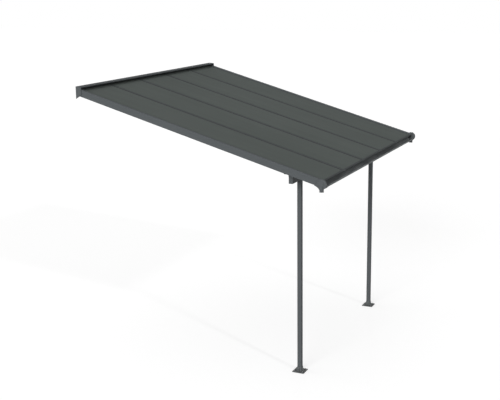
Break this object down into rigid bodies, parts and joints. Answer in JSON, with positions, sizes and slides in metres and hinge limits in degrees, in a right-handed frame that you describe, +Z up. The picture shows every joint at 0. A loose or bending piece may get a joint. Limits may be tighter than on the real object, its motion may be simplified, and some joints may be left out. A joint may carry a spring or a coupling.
{
  "type": "wall-mounted patio pergola",
  "caption": "Wall-mounted lean-to pergola: sloping sheet roof in slotted rafters, hooded wall ledger, round-bottomed gutter with capped spouts, set-back beam and slender posts on foot plates.",
  "frame": {"origin": "on the wall ledger's flat back face, which is the plane Y = 0, at the height of its anchor holes and halfway along it", "axes": "+X along the wall, +Y into the wall, +Z up; the roof reaches out along -Y"},
  "size_m": [3.128, 2.894, 3.008],
  "materials": {
    "frame": "dark grey powder coat, satin",
    "sheet": "tinted grey twin-wall sheet, soft sheen",
    "trim": "dark grey powder coat, satin",
    "moulded": "dark grey moulded plastic, matt",
    "fitting": "dark grey powder coat, satin"
  },
  "bodies": {
    "root": {"wall_ledger": "frame", "ledger_cap_left": "moulded", "ledger_cap_right": "moulded", "side_rafter_left": "frame", "side_rafter_right": "frame", "rafter_1": "frame", "rafter_2": "frame", "rafter_3": "frame", "rafter_4": "frame", "rafter_plug_1": "moulded", "rafter_plug_2": "moulded", "rafter_plug_3": "moulded", "rafter_plug_4": "moulded", "roof_panel_1": "sheet", "roof_panel_2": "sheet", "roof_panel_3": "sheet", "roof_panel_4": "sheet", "roof_panel_5": "sheet", "panel_closure_1": "trim", "panel_closure_2": "trim", "panel_closure_3": "trim", "panel_closure_4": "trim", "panel_closure_5": "trim", "gutter": "frame", "gutter_cap_left": "moulded", "gutter_cap_right": "moulded", "support_beam": "frame", "beam_cap_left": "moulded", "beam_cap_right": "moulded", "beam_saddle_1": "moulded", "beam_saddle_2": "moulded", "beam_saddle_3": "moulded", "beam_saddle_4": "moulded", "beam_tie_left": "fitting", "beam_tie_right": "fitting", "post_left": "frame", "post_right": "frame", "post_head_left": "fitting", "post_head_right": "fitting", "foot_left": "fitting", "foot_right": "fitting"}
  },
  "joints": []
}
